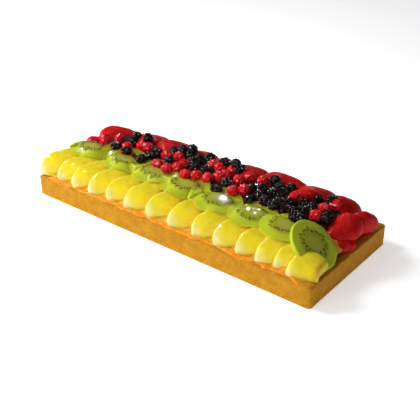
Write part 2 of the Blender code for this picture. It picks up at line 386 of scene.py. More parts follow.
# %% Shape and finish of the custard
BED_X, BED_Y, BED_Z, BED_FOOT = 181.0 * MM, 68.0 * MM, 24.2 * MM, 22.0 * MM
BED_ROWS = [(-68, 1.5), (-62, 6), (-52, 12), (-40, 15.5), (-20, 17.5), (15, 18), (40, 14.5),
            (54, 10), (63, 5), (68, 1)]

bed = begin(bpy.ops.mesh.primitive_cube_add, "custard_bed", size=1.0,
            location=(0, 0, BED_Z + 0.5 * MM), scale=(2 * BED_X, 2 * BED_Y, MM))
edit(bed)
choose(bed, "EDGE", runs(1))
bpy.ops.mesh.subdivide(number_cuts=26)
choose(bed, "EDGE", runs(0))
bpy.ops.mesh.subdivide(number_cuts=50)
for row in levels(bed, 1)[1:-1]:
    choose(bed, "VERT", lambda v: abs(v.co.y - row) < 1e-5 and v.co.z > BED_Z
           and abs(v.co.x) < BED_X - MM)
    bpy.ops.transform.translate(value=(0, 0, curve(BED_ROWS, row / MM) * MM))
done()
modify(bed, "SMOOTH", factor=0.6, iterations=12)
modify(bed, "SUBSURF", levels=1, render_levels=1)
roughen(bed, 9 * MM, 0.8 * MM)
wide_x, wide_y, low = [furthest(v.co[axis] for v in bed.data.vertices)
                       for furthest, axis in ((max, 0), (max, 1), (min, 2))]
move_points(bed, lambda p: Vector((p.x * BED_X / wide_x, p.y * BED_Y / wide_y,
                                   p.z - low + BED_Z - MM if p.z - low > MM else BED_FOOT)))
settle(bed, "custard", "custard")

custard, *_ = two_tone("glazed_custard", srgb(238, 160, 52), srgb(246, 190, 76), 7.0, 0.7,
                       (4.0, 3.0, 0.001, 1.0), Roughness=0.35, Subsurface_Weight=0.4,
                       Subsurface_Radius=(1.0, 0.6, 0.2), Subsurface_Scale=0.004,
                       Coat_Weight=0.15, Coat_Roughness=0.4, Specular_IOR_Level=0.0)
wear(bed, custard)
print("custard faces:", len(bed.data.polygons))

# %% [markdown]
# The berries are heaped on a core of set juice, a long block with rounded edges that is lower
# towards its sides and its right end. It is shaped now, because the kiwi slices lean on it.

# %% The juicy core under the berries
CORE_X, CORE_Y, CORE_TOP, CORE_H = (-152.0, 160.0), (-13.0, 36.0), 50.8, 14.0
CORE_MID, CORE_ROUND = 18, 0.0018
END_FROM, END_FALL = 130, 0.0035

core = begin(bpy.ops.mesh.primitive_cube_add, "berry_jelly", size=1.0,
             location=((CORE_X[0] + CORE_X[1]) / 2 * MM, (CORE_Y[0] + CORE_Y[1]) / 2 * MM,
                       (CORE_TOP - CORE_H / 2) * MM),
             scale=((CORE_X[1] - CORE_X[0]) * MM, (CORE_Y[1] - CORE_Y[0]) * MM, CORE_H * MM))
edit(core)
choose(core, "EDGE", lambda e: True)
bpy.ops.mesh.bevel(offset=4.5 * MM, segments=3, affect="EDGES")
choose(core, "EDGE", runs(0, 0.1))
bpy.ops.mesh.subdivide(number_cuts=80)
choose(core, "EDGE", runs(1, 0.02))
bpy.ops.mesh.subdivide(number_cuts=12)
for row in levels(core, 1):
    choose(core, "VERT", lambda v: abs(v.co.y - row) < 1e-5
           and v.co.z > (CORE_TOP - CORE_H / 2) * MM)
    bpy.ops.transform.translate(value=(0, 0, -CORE_ROUND * (row / MM - CORE_MID) ** 2 * MM))
for column in levels(core, 0):
    if column > END_FROM * MM:
        choose(core, "VERT", lambda v: abs(v.co.x - column) < 1e-5)
        bpy.ops.transform.translate(value=(0, 0, -END_FALL * (column / MM - END_FROM) ** 2 * MM))
done()
modify(core, "SUBSURF", levels=1, render_levels=1)
roughen(core, 5 * MM, 1.6 * MM)
settle(core, "berries", "berry_heap")
print("jelly faces:", len(core.data.polygons))

# %% [markdown]
# ## The pineapple row
#
# Each piece is a wedge of a pineapple ring: thick at the rim of the tart, where it is a little paler
# and carries a painted highlight on its low left corner, thinner and more yellow as it climbs to the
# kiwi, with its left edge raised over its neighbour. One wedge is shaped from a cube: its long edges
# are bevelled and cut into rows, and a plan UV map is laid while the block is still straight, so
# colour can follow the wedge. One rule then tapers it, slants its outer end and drapes it over the
# bed, which is what a hand does with a soft piece of fruit.

# %% Shape of one wedge
PINE_W, PINE_H, PINE_Y0, PINE_Y1 = 17.0 * MM, 6.4 * MM, -74.5 * MM, -28.0 * MM
PINE_TOP = [(-74, 39.5), (-68, 42), (-63, 44.2), (-58, 45.5), (-50, 46.3), (-40, 46.5), (-28, 46.3)]
PINE_FALL = [(0, 12), (0.7, 9), (1.7, 6.8), (3.5, 4.5), (6.5, 2.4), (11, 0.8), (16, 0)]
PINE_DOME, PINE_NOSE = 1.6 * MM, 3.0 * MM
PINE_ROWS, PINE_TILT, PINE_SLANT, PINE_SEAT = 11, 0.18, 12.0 * MM, 0.4

wedge = begin(bpy.ops.mesh.primitive_cube_add, "wedge", size=1.0,
              scale=(2 * PINE_W, PINE_Y1 - PINE_Y0, 2 * PINE_H))
edit(wedge)
choose(wedge, "EDGE", runs(1))
bpy.ops.mesh.bevel(offset=5.0 * MM, segments=3, affect="EDGES")
choose(wedge, "EDGE", runs(1))
bpy.ops.mesh.subdivide(number_cuts=PINE_ROWS)
choose(wedge, "FACE", lambda f: abs(f.normal.y) > 0.9)
bpy.ops.mesh.inset(thickness=2.5 * MM)
done()
half_long = (PINE_Y1 - PINE_Y0) / 2
plan = wedge.data.uv_layers.active
for corner, spot in zip(wedge.data.loops, plan.data):
    point = wedge.data.vertices[corner.vertex_index].co
    spot.uv = (0.5 + point.x / (2 * PINE_W), 0.5 + point.y / (2 * half_long))


def shingle(point):
    """Tapers the block to the tip, rounds and slants its outer end and lays it over the bed."""
    along = min(1.0, max(0.0, (point.y + half_long) / (2 * half_long))) ** 1.7
    corner = 1 - 0.16 * max(0.0, 1 - along / 0.08) ** 2
    x = point.x * (1 - 0.45 * along ** 1.5) * corner
    slant = PINE_SLANT * (point.x / PINE_W + 1) / 2 * (1 - along) ** 1.3
    y = PINE_Y0 + 2 * half_long * along + slant
    y += PINE_NOSE * abs(point.x / PINE_W) ** 2.5 * (1 - along) ** 6
    top = curve(PINE_TOP, y / MM) - curve(PINE_FALL, 2 * half_long * along / MM)
    top = top * MM - PINE_TILT * x
    top -= PINE_DOME * (point.x / PINE_W) ** 2
    seated = max(0.0, 1 - along / PINE_SEAT)
    thick = 2 * PINE_H + (top - CRUST_H + 0.5 * MM - 2 * PINE_H) * seated
    z = top - thick * (1 - point.z / PINE_H) / 2
    return Vector((x + 5.5 * MM * along ** 2, y - (PINE_Y0 + PINE_Y1) / 2, z))


move_points(wedge, shingle)
modify(wedge, "SUBSURF", levels=3, render_levels=3)
print("wedge points:", len(wedge.data.vertices))

# %% [markdown]
# The wedge is then copied along the rim. No two real pieces are alike, so each copy gets its own
# width and turn, its own fibres (a pattern stretched along the piece) and its own gentle unevenness.

# %% Copies of the wedge along the rim
PINE_PLACES = [(-187, 1, 0, 1), (-159, 0, 1, 1), (-134, 0, 0, 1), (-107, 0, 0, 1), (-80, 0, 1, 1),
               (-52, 0, 0, 1), (-21, 0, 1, 1), (11, 0, 0, 1), (42, 0, 0, 1), (70, 0, 0, 1),
               (97, -0.5, 1, 0.94), (120, -1.5, 1, 0.9), (139, -3.5, 5, 0.7), (156, -6, 1, 0.68)]

pineapple = []
for i, (left, lift, back, long) in enumerate(PINE_PLACES, 1):
    draw = random.Random(40 + i)
    wide = draw.uniform(0.96, 1.04) * (1 + 0.02 * min(lift, 0))
    place = Vector((left + PINE_W / MM * wide, back + (PINE_Y0 + half_long * long) / MM, lift)) * MM
    piece = copy_of(wedge, f"pineapple_piece_{i:02d}", place, (0, 0, draw.uniform(-2, 2)),
                    (wide, long, 1))
    move_points(piece, lambda p: Vector((p.x, p.y, max(p.z, CRUST_H - 0.6 * MM))))
    roughen(piece, 12 * MM, 2.0 * MM)
    roughen(piece, 1.6 * MM, 0.45 * MM, stretch=(1, 7, 1.4), turn=(0, 0, draw.uniform(-6, 6)))
    pineapple.append(settle(piece, "pineapple", f"pineapple_{i:02d}"))
bpy.data.objects.remove(wedge)
print("pineapple pieces:", len(pineapple), "faces each:", len(pineapple[0].data.polygons))

# %% Finish of the pineapple
flesh, tree, shader = recipe("pineapple_flesh", Roughness=0.3, Subsurface_Weight=0.4,
                             Subsurface_Radius=(1.0, 0.75, 0.15), Subsurface_Scale=0.004, **GLAZE)
slice_map = node(tree, "UVMap", uv_map="UVMap").outputs[0]
side, along, _ = node(tree, "SeparateXYZ", {0: slice_map}).outputs
where = millimetres(tree)
threads = noise(tree, stretched(tree, where, (1.0, 0.12, 0.6)), 1.1, 3.0, 0.6)
clouds = noise(tree, where, 8.0, 2.0)
bent = maths(tree, "ADD", along, maths(tree, "MULTIPLY", clouds, 0.16))
colour = mixed(tree, span(tree, bent, 0.10, 0.40), srgb(248, 224, 56), srgb(248, 224, 26))
# Painted highlight: a pale band along each piece's left edge, where the raised edge catches the key
# light.
colour = mixed(tree, span(tree, side, 0.0, 0.18, 0.55, 0.0), colour, srgb(250, 238, 150))
# Painted highlight: a pale cream patch on the low left corner of each piece.
painted_highlight_low_left = maths(tree, "MULTIPLY", span(tree, bent, 0.18, 0.42, 1.0, 0.0),
                 span(tree, side, 0.08, 0.42, 0.8, 0.0))
colour = mixed(tree, painted_highlight_low_left, colour, srgb(250, 238, 160))
# Painted shade: the right side turns a darker gold, where the next piece overlaps it and shades it.
colour = mixed(tree, span(tree, side, 0.50, 0.95, 0.0, 0.85), colour, srgb(240, 198, 28))
colour = mixed(tree, span(tree, threads, 0.45, 0.72, 0.0, 0.4), colour, srgb(250, 236, 130))
colour = mixed(tree, span(tree, along, 0.72, 1.0, 0.0, 0.85), colour, srgb(206, 204, 40))
plug(tree, shader, Base_Color=colour, Normal=bumped(tree, threads, 0.0005, 0.5),
     Coat_Normal=bumped(tree, noise(tree, where, 6.0, 1.0), 0.0012, 0.5))
for piece in pineapple:
    wear(piece, flesh)
print("pineapple finished")

# %% [markdown]
# ## The kiwi row
#
# A kiwi slice is a thin oval with a rounded edge that sags a little over what it lies on. It starts
# as a flat cylinder. Its top and bottom are inset several times, so there are rings to work with,
# and each ring is lowered in turn. The seeds are real grains in a ring about the pale core.

# %% Shape of one kiwi slice
KIWI_RX, KIWI_RY, KIWI_T, KIWI_SAG = 29.0 * MM, 23.0 * MM, 2.3 * MM, 1.45 * MM

slice_one = begin(bpy.ops.mesh.primitive_cylinder_add, "slice", vertices=48, radius=KIWI_RY,
                  depth=2 * KIWI_T)
edit(slice_one)
choose(slice_one, "FACE", lambda f: abs(f.normal.z) > 0.9)
for step in (1.2, 2.6, 3.4, 3.8, 3.8, 3.8):
    bpy.ops.mesh.inset(thickness=step * MM)
bpy.ops.mesh.poke()
choose(slice_one, "EDGE", lambda e: all(v.co.xy.length > KIWI_RY - 0.1 * MM for v in e.verts)
       and abs(e.verts[0].co.z - e.verts[1].co.z) < 1e-6)
bpy.ops.mesh.bevel(offset=1.1 * MM, segments=2, affect="EDGES")
choose(slice_one, "VERT", lambda v: True)
bpy.ops.transform.resize(value=(KIWI_RX / KIWI_RY, 1, 1))
done()
plan = slice_one.data.uv_layers.active
for corner, spot in zip(slice_one.data.loops, plan.data):
    point = slice_one.data.vertices[corner.vertex_index].co
    spot.uv = (0.5 + 0.5 * point.x / KIWI_RX, 0.5 + 0.5 * point.y / KIWI_RY)


def ring_of(vert):
    return round(math.hypot(vert.co.x / KIWI_RX, vert.co.y / KIWI_RY), 3)


edit(slice_one)
for ring in sorted({ring_of(v) for v in bmesh.from_edit_mesh(slice_one.data).verts}):
    choose(slice_one, "VERT", lambda v: abs(ring_of(v) - ring) < 1e-4)
    bpy.ops.transform.translate(value=(0, 0, -KIWI_SAG * ring ** 2))
done()
modify(slice_one, "SUBSURF", levels=2, render_levels=2)

seed = begin(bpy.ops.mesh.primitive_ico_sphere_add, "seed", subdivisions=2, radius=1.0)
edit(seed)
choose(seed, "VERT", lambda v: v.co.x > 0.1)
bpy.ops.transform.resize(value=(1.25, 0.75, 0.75), center_override=(0, 0, 0))
done()
print("slice points:", len(slice_one.data.vertices), "seed faces:", len(seed.data.polygons))

# %% [markdown]
# Small things that repeat by the dozen, such as seeds and drupelets, are modelled once and then
# stamped: one new mesh gets a copy of the model at every place.

# %% Stamping one model at many places
def stamped(name, model, places):
    """One mesh with a copy of the model at each matrix."""
    corners = [v.co.copy() for v in model.data.vertices]
    faces = [list(p.vertices) for p in model.data.polygons]
    points, skins = [], []
    for place in places:
        first = len(points)
        points += [place @ c for c in corners]
        skins += [[first + i for i in face] for face in faces]
    mesh = bpy.data.meshes.new(name)
    mesh.from_pydata(points, [], skins)
    made = bpy.data.objects.new(name, mesh)
    bpy.context.scene.collection.objects.link(made)
    for material in model.data.materials:
        mesh.materials.append(material)
    alone(made)
    bpy.ops.object.shade_smooth()
    return made


def frame_at(place, upward, ahead, size):
    """A matrix at a place: Z upward, X as near ahead as it can be, and its three sizes."""
    z = Vector(upward).normalized()
    y = z.cross(Vector(ahead)).normalized()
    turn = Matrix((y.cross(z), y, z)).transposed()
    return Matrix.Translation(place) @ turn.to_4x4() @ Matrix.Diagonal((*size, 1.0))


def fibonacci(count):
    """Directions spread evenly over a ball, in the spiral that seeds and drupelets grow in."""
    for k in range(count):
        z = 1 - (2 * k + 1) / count
        flat, angle = math.sqrt(1 - z * z), k * math.pi * (3 - math.sqrt(5))
        yield Vector((flat * math.cos(angle), flat * math.sin(angle), z))


print("directions of 3:", [tuple(round(c, 2) for c in d) for d in fibonacci(3)])

# %% [markdown]
# Kiwi flesh is lime at the edge and turns to a paler, yellower core. Thin pale rays run outwards
# between the seeds. Where the berries lie on it, their juice has stained it brown.

# %% Finish of the kiwi and its seeds
kiwi_flesh, tree, shader = recipe("kiwi_flesh", Roughness=0.25, Subsurface_Weight=0.5,
                                  Subsurface_Radius=(0.7, 1.0, 0.2), Subsurface_Scale=0.004,
                                  **GLAZE)
plan = node(tree, "UVMap", uv_map="UVMap").outputs[0]
centred = node(tree, "VectorMath", {0: plan, 1: (0.5, 0.5, 0.0)}, operation="SUBTRACT").outputs[0]
reach = node(tree, "VectorMath", {0: centred}, operation="LENGTH").outputs["Value"]
reach = maths(tree, "MULTIPLY", reach, 2.0)
x, y, _ = node(tree, "SeparateXYZ", {0: centred}).outputs
angle = maths(tree, "ARCTAN2", y, x)
where = millimetres(tree)
rays_at = node(tree, "CombineXYZ", {0: maths(tree, "MULTIPLY", angle, 9.0), 1: reach}).outputs[0]
rays = node(tree, "TexNoise", {"Vector": rays_at, "Scale": 1.6, "Detail": 2.0}).outputs["Fac"]
bent = maths(tree, "ADD", reach, maths(tree, "MULTIPLY", noise(tree, where, 9.0), 0.08))
colour = mixed(tree, span(tree, bent, 0.24, 0.46), srgb(182, 182, 66), srgb(162, 168, 38))
colour = mixed(tree, span(tree, bent, 0.55, 0.76), colour, srgb(196, 206, 46))
colour = mixed(tree, span(tree, bent, 0.93, 1.0), colour, srgb(196, 208, 52))
in_ring = maths(tree, "MULTIPLY", span(tree, bent, 0.34, 0.44), span(tree, bent, 0.86, 0.6))
colour = mixed(tree, maths(tree, "MULTIPLY", in_ring, span(tree, rays, 0.5, 0.66, 0.0, 0.5)),
               colour, srgb(196, 198, 84))
_, depth, _ = node(tree, "SeparateXYZ", {0: where}).outputs
stain = maths(tree, "ADD", depth, maths(tree, "MULTIPLY", noise(tree, where, 12.0), 14.0))
colour = mixed(tree, span(tree, stain, -16.0, 2.0, 0.0, 0.8), colour, srgb(120, 70, 28))
plug(tree, shader, Base_Color=colour, Normal=bumped(tree, rays, 0.0003, 0.6),
     Coat_Normal=bumped(tree, noise(tree, where, 8.0, 1.0), 0.0012, 0.5))

kiwi_seed, tree, shader = recipe("kiwi_seed", Roughness=0.3, **GLAZE)
grain = noise(tree, millimetres(tree), 1.0)
plug(tree, shader, Base_Color=mixed(tree, grain, srgb(34, 24, 14), srgb(96, 76, 34)),
     Normal=bumped(tree, grain, 0.0001))
wear(slice_one, kiwi_flesh)
wear(seed, kiwi_seed)
print("kiwi finishes ready")

# %% [markdown]
# Each slice gets its own waviness and is laid in its place, leaning on its left neighbour. A slice
# is soft, so its rim thins and settles onto whatever lies under it, and a light smoothing takes out
# the creases. What lies under it is found by rays cast down onto a smoothed, slightly swollen copy
# of the pineapple, the custard and the core. The last slice leans steeply and keeps its shape. Each
# slice then gets its own ring of seeds.

# %% The eight slices
KIWI = [(-154, -17, 49.5, 30, 8, -4), (-99, -17, 48.5, 29, 6, 3), (-51, -20, 48.5, 29, 5, 3),
        (-3, -23, 48.5, 29, 4, 4), (45, -28, 48.0, 29, 2, 4), (91, -30, 48.0, 28, 0, 5),
        (128, -31, 48.0, 25, -1, 8), (164.5, -35, 42.5, 27, -6, 40)]
SEED_RING, SEEDS, RIM_SINK = 0.52, 34, (1.0, 1.0, 1.0, 1.0, 0.9, 0.9, 0.8, 0.0)
RIM_THIN = (0.85, 0.85, 0.85, 0.85, 0.85, 0.85, 0.75, 0.0)


def fused_copy(name, pieces, voxel, passes):
    """Copies of the pieces as one closed skin, smoothed."""
    skin_of = joined([copy_of(piece, "part") for piece in pieces], name)
    modify(skin_of, "REMESH", mode="VOXEL", voxel_size=voxel)
    modify(skin_of, "SMOOTH", factor=0.5, iterations=passes)
    return skin_of


def sink(piece, reach, onto, share):
    """Lets the rim of a laid slice sink onto the highest thing under it."""
    for point, (out, level) in zip(piece.data.vertices, reach):
        soft = min(1.0, max(0.0, (out - 0.4) / 0.6))
        hits = [under.ray_cast(Vector((point.co.x, point.co.y, 0.2)), (0, 0, -1)) for under in onto]
        rest = max([spot.z for found, spot, _, _ in hits if found], default=point.co.z)
        rest += (0.6 + 1.1 * level) * MM
        point.co.z += (rest - point.co.z) * soft * soft * (3 - 2 * soft) * share


resting = fused_copy("resting", pineapple + [bed, core], 3.0 * MM, 36)
modify(resting, "DISPLACE", strength=1.9 * MM, mid_level=0.0)
kiwi = []
for i, (x, y, z, half_long, lean_back, lean_right) in enumerate(KIWI, 1):
    draw = random.Random(80 + i)
    turn = Euler([math.radians(t) for t in (-lean_back, lean_right, draw.uniform(-8, 8))])
    laid = Matrix.Translation(Vector((x, y, z)) * MM) @ turn.to_matrix().to_4x4()
    piece = copy_of(slice_one, f"kiwi_slice_{i:02d}", size=(half_long * MM / KIWI_RX, 1, 1))
    reach = []
    for v in piece.data.vertices:
        out = math.hypot(v.co.x / (half_long * MM), v.co.y / KIWI_RY)
        middle = -0.4 * KIWI_T - KIWI_SAG * out ** 2
        thin = 1 - RIM_THIN[i - 1] * min(1.0, max(0.0, (out - 0.6) / 0.4)) ** 1.5
        v.co.z = middle + (v.co.z - middle) * thin
        reach.append((out, (v.co.z + KIWI_SAG * out ** 2) / KIWI_T))
    roughen(piece, 14 * MM, 1.4 * MM, shift=(0, 0, i))
    move_points(piece, lambda p: laid @ p)
    sink(piece, reach, [resting] + kiwi[-1:], RIM_SINK[i - 1])
    modify(piece, "SMOOTH", factor=0.5, iterations=5)
    places = []
    for k in range(SEEDS):
        angle = math.tau * (k + draw.uniform(-0.4, 0.4)) / SEEDS
        out = SEED_RING + draw.uniform(-0.10, 0.10)
        spot = laid @ Vector((math.cos(angle) * out * half_long * MM,
                              math.sin(angle) * out * KIWI_RY, 0))
        found, point, normal, _ = piece.ray_cast(Vector((spot.x, spot.y, 0.2)), (0, 0, -1))
        size = draw.uniform(0.85, 1.2)
        if found:
            places.append(frame_at(point, normal, spot - laid.translation,
                                   (1.5 * MM * size, 0.5 * MM * size, 0.45 * MM)))
    kiwi.append(joined([piece, stamped("seeds", seed, places)], piece.name))
for i, piece in enumerate(kiwi, 1):
    settle(piece, "kiwi", f"kiwi_{i:02d}")
bpy.data.objects.remove(resting)
bpy.data.objects.remove(slice_one)
print("kiwi slices:", len(kiwi), "faces each:", len(kiwi[0].data.polygons))

# %% [markdown]
# ## The strawberry row
#
# Strawberry halves lie on their cut faces with the skin up. A ball with its poles along the berry is
# cut to a strawberry's outline, ring by ring: blunt at the stalk and narrowing to the tip. Its lower
# half is pressed flatter. Every berry then gets dimples at its seeds, at true size, because a big
# berry has more seeds and not bigger ones.

# %% Shape of one strawberry
berry_one = begin(bpy.ops.mesh.primitive_uv_sphere_add, "berry_one", segments=72, ring_count=44,
                  radius=1.0, rotation=(0, math.pi / 2, 0))
edit(berry_one)
for t in levels(berry_one, 0, 5)[1:-1]:
    full = (1 - abs(t) ** 2.4) ** (1 / 2.4) * (1 - 0.22 * t) / 1.04
    grow = full / math.sqrt(1 - t * t)
    choose(berry_one, "VERT", lambda v: abs(v.co.x - t) < 2e-5)
    bpy.ops.transform.resize(value=(1, grow, grow), center_override=(t, 0, 0))
choose(berry_one, "VERT", lambda v: v.co.z < 0)
bpy.ops.transform.resize(value=(1, 1, 0.75), center_override=(0, 0, 0))
done()
modify(berry_one, "SUBSURF", levels=1, render_levels=1)
print("strawberry points:", len(berry_one.data.vertices))

# %% [markdown]
# Strawberry skin is a deep clear red, with small orange-yellow seeds in shallow dimples.

# %% Finish of the strawberries
skin, tree, shader = recipe("strawberry_skin", Roughness=0.35, Subsurface_Weight=0.2,
                            Subsurface_Radius=(1.0, 0.12, 0.08), Subsurface_Scale=0.003,
                            Coat_Weight=0.3, Coat_Roughness=0.07, Coat_IOR=1.4,
                            Specular_IOR_Level=0.0)
where = millimetres(tree)
patches = span(tree, noise(tree, where, 10.0, 3.0), 0.35, 0.65)
colour = mixed(tree, patches, srgb(186, 8, 14), srgb(218, 22, 26))
flecks = span(tree, noise(tree, where, 1.1, 2.0), 0.56, 0.72, 0.0, 0.35)
colour = mixed(tree, flecks, colour, srgb(224, 56, 38))
plug(tree, shader, Base_Color=colour, Normal=bumped(tree, noise(tree, where, 1.4), 0.0004, 0.6),
     Coat_Normal=bumped(tree, noise(tree, where, 3.0, 1.0), 0.0006, 0.5))

achene, tree, shader = recipe("strawberry_seed", Roughness=0.5, Specular_IOR_Level=0.0)
grain = noise(tree, millimetres(tree), 3.0)
plug(tree, shader, Base_Color=mixed(tree, grain, srgb(198, 50, 34), srgb(214, 84, 50)),
     Normal=bumped(tree, grain, 0.0001))

small_seed = begin(bpy.ops.mesh.primitive_ico_sphere_add, "small_seed", subdivisions=1, radius=1.0)
edit(small_seed)
choose(small_seed, "VERT", lambda v: v.co.x > 0.5)
bpy.ops.transform.resize(value=(1.3, 0.6, 0.8), center_override=(0, 0, 0))
done()
wear(berry_one, skin)
wear(small_seed, achene)

# %% The fourteen strawberries
STRAWBERRIES = [(-173, 9, 38.5, 14, 12, 10, 50, 0), (-161, 36, 40, 25.5, 20, 14.5, 35, 0),
                (-114, 48, 40, 25, 21, 13, 80, 16), (-76, 48, 40, 26, 21, 14, 65, 16),
                (-38, 49, 39, 25, 18, 13, 85, 18), (-5, 48, 39, 25, 18, 13, 100, 18),
                (34, 49, 40, 25, 21, 13, 75, 18), (77, 48, 41, 28, 22, 13, 15, 4),
                (120, 48, 40, 25, 20, 14, 65, 16), (151, 46, 39.5, 20.5, 18, 14.5, 62, 16),
                (112, 27, 52, 15, 8, 7, 215, 4), (176.5, 41, 34, 18.5, 10, 14.5, 70, 16),
                (168, 12, 36.5, 22.5, 15.5, 15, 254, 10), (177.6, -1, 28.5, 12.5, 7, 7.5, 52, 0)]
SEED_GAP, DIMPLE_R, DIMPLE_DEPTH = 3.5 * MM, 1.0 * MM, 0.45 * MM


def seeds_and_dimples(piece, centre, tip, sizes, draw):
    """Finds seed places on the skin, presses a dimple at each, and returns the seeds' matrices."""
    half, wide, high = sizes
    count = int(4 * math.pi * ((half * wide) ** 1.6 + (half * high) ** 1.6 + (wide * high) ** 1.6)
                ** (1 / 1.6) / 3 ** (1 / 1.6) / SEED_GAP ** 2)
    tree_of = kdtree.KDTree(count)
    places = []
    turn = tip.to_track_quat("Z", "Y")
    for k, way in enumerate(fibonacci(count)):
        way = turn @ way
        found, point, normal, _ = piece.ray_cast(centre + way * 0.1, -way)
        if found and normal.z > -0.35:
            tree_of.insert(point, k)
            size = draw.uniform(0.85, 1.15)
            places.append(frame_at(point - normal * 0.3 * MM, normal, tip,
                                   (0.7 * MM * size, 0.42 * MM * size, 0.3 * MM)))
    tree_of.balance()
    dimples = piece.vertex_groups.new(name="dimples")
    for point in piece.data.vertices:
        _, _, away = tree_of.find(point.co)
        dimples.add([point.index], math.exp(-(away / DIMPLE_R) ** 2), "REPLACE")
    modify(piece, "DISPLACE", strength=-DIMPLE_DEPTH, mid_level=0.0, vertex_group="dimples")
    return places


strawberries = []
for i, (x, y, z, half, wide, high, heading, dip) in enumerate(STRAWBERRIES, 1):
    draw = random.Random(120 + i)
    centre = Vector((x, y, z)) * MM
    sizes = [half * MM, wide * MM, high * MM]
    piece = copy_of(berry_one, "skin", centre, (0, dip, heading), sizes)
    roughen(piece, 16 * MM, 2.2 * MM)
    tip = Euler((0, math.radians(dip), math.radians(heading))).to_matrix() @ Vector((1, 0, 0))
    grains = stamped("seeds", small_seed, seeds_and_dimples(piece, centre, tip, sizes, draw))
    whole = joined([piece, grains], f"strawberry_half_{i:02d}")
    strawberries.append(settle(whole, "strawberry", f"strawberry_{i:02d}"))
bpy.data.objects.remove(berry_one)
print("strawberries:", len(strawberries), "faces of the first:", len(strawberries[0].data.polygons))

# %% [markdown]
# ## The berry heap
#
# A heap of raspberries, brambles and a few smooth currants covers the middle. Its core is juicy dark
# jelly. A raspberry's drupelets are shallow and grown together, so they are stamped on a ball and
# then fused by a voxel remesh. A bramble's drupelets stand apart as glossy beads, so they stay
# separate. Three berries of each kind are made, and every berry of the heap is a turned copy of one.

# %% Berries of each kind
def bead_places(count, radius, bead, draw, tall=1.0):
    """Matrices for beads spread over a ball, each a little out of line."""
    for way in fibonacci(count):
        spot = (way * radius) * draw.uniform(0.96, 1.03)
        spot.z *= tall
        size = bead * draw.uniform(0.88, 1.1)
        yield frame_at(spot, way, (0.3, 1, 0.2), (size, size, size * 1.1))


def model_raspberry(number):
    draw = random.Random(200 + number)
    fine = begin(bpy.ops.mesh.primitive_ico_sphere_add, "fine", subdivisions=3, radius=1.0)
    core_ball = begin(bpy.ops.mesh.primitive_ico_sphere_add, "core", subdivisions=3, radius=5.9)
    beads = stamped("beads", fine, bead_places(34, 5.3, 1.8, draw, 1.04))
    fused = joined([core_ball, beads], "fused")
    modify(fused, "REMESH", mode="VOXEL", voxel_size=0.56)
    modify(fused, "SMOOTH", factor=0.5, iterations=7)
    bpy.data.objects.remove(fine)
    return fused


def model_bramble(number):
    draw = random.Random(230 + number)
    fine = begin(bpy.ops.mesh.primitive_ico_sphere_add, "fine", subdivisions=2, radius=1.0)
    core_ball = begin(bpy.ops.mesh.primitive_ico_sphere_add, "core", subdivisions=2, radius=5.0)
    beads = stamped("beads", fine, bead_places(32, 4.8, 1.8, draw, 1.06))
    bpy.data.objects.remove(fine)
    return joined([core_ball, beads], "bramble")


def model_currant(number):
    ball = begin(bpy.ops.mesh.primitive_uv_sphere_add, "ball", segments=32, ring_count=20,
                 radius=5.2)
    edit(ball)
    choose(ball, "FACE", lambda f: f.calc_center_median().z > 4.9)
    bpy.ops.mesh.inset(thickness=0.35)
    bpy.ops.transform.translate(value=(0, 0, -0.6))
    done()
    roughen(ball, 5.0, 0.5, shift=(0, 0, number))
    return ball


print("berry models defined")

# %% Finish of the berries
def berry_skin(name, dark, light, size, weight, scatter):
    """A glazed berry: two shades in soft patches, a fine bump, and gloss where glaze has run."""
    made, tree, shader = two_tone(name, dark, light, size, 0.68, (0.8, 3.0, 0.0002, 0.4),
                                  Roughness=0.3, Subsurface_Weight=weight,
                                  Subsurface_Radius=scatter, Subsurface_Scale=0.002,
                                  Coat_Roughness=0.02, Coat_IOR=1.9, Specular_IOR_Level=0.0)
    wet = span(tree, noise(tree, millimetres(tree), 3.5, 1.0), 0.46, 0.60, 0.12, 1.0)
    plug(tree, shader, Coat_Weight=wet)
    return made


raspberry_skin = berry_skin("raspberry_skin", srgb(212, 10, 20), srgb(236, 30, 38), 6.0, 0.35,
                            (1.0, 0.12, 0.1))
bramble_skin = berry_skin("bramble_skin", srgb(8, 2, 2), srgb(38, 9, 9), 3.0, 0.05,
                          (1.0, 0.2, 0.2))
currant_skin = berry_skin("currant_skin", srgb(6, 5, 6), srgb(16, 11, 12), 5.0, 0.05,
                          (1.0, 0.2, 0.2))
print("berry finishes ready")

# %% The heap
HEAP_Z, HEAP_ROUND, HEAP_MID = 52.6, 0.0028, 10.0
RASPBERRIES = [(-157, 7, -1), (-147, -1, 0), (-139, 15, 0), (-114, 2, 0),
               (-102, 14, 0), (-93, 15, 0), (-63, 14, 0), (-56, -9, 0), (-48, 19, 0),
               (-40, -11, 0), (-32, -3, 0), (-31, 6, 0), (-14, -11, 0), (-6, 28, 0), (-3, -5, 0),
               (5, 27, 0), (11, -3, 0), (19, 7, 0), (21, 28, 0), (23, 14, 0), (41, 13, 0),
               (45, 28, 0), (50, -9, 0), (58, -1, 0), (61, 30, 0), (110, 15, 0), (144, 15, 0),
               (145, -1, 0), (150, 30, 2)]
BRAMBLES = [(-126, -4, 0), (-125, 30, 3), (-116, 12, 0), (-107, 31, 5), (-108, -6, 0),
            (-79, -10, 0), (-75, 12, 0), (-74, -2, 0), (-63, 28, 1), (-53, 31, 5), (-48, 2, 0),
            (-40, 33, 8), (-38, 30, 3), (-28, 17, 0), (-25, 28, 1), (-14, 33, 5), (-18, 10, 0),
            (-2, 11, 0), (7, 33, 5), (22, 33, 8), (28, 32, 4), (32, -15, 0), (34, 1, 0),
            (74, 33, 4), (73, 12, 0), (78, -1, 0), (83, 29, 0), (86, 12, 0), (89, -7, 0),
            (96, 19, 0), (96, 31, 2), (99, 6, 0), (100, -8, 0), (104, -1, 0), (111, 3, 0),
            (113, -6, 0), (123, 13, 0), (124, -8, 0), (130, -16, 0), (131, -1, 0), (135, -14, 0),
            (135, 10, 0), (145, 32, 4), (149, -17, 0), (154, 2, 0)]
CURRANTS = [(61, 9, 0), (73, -12, 0), (130, 30, 1), (153, 9, 0)]

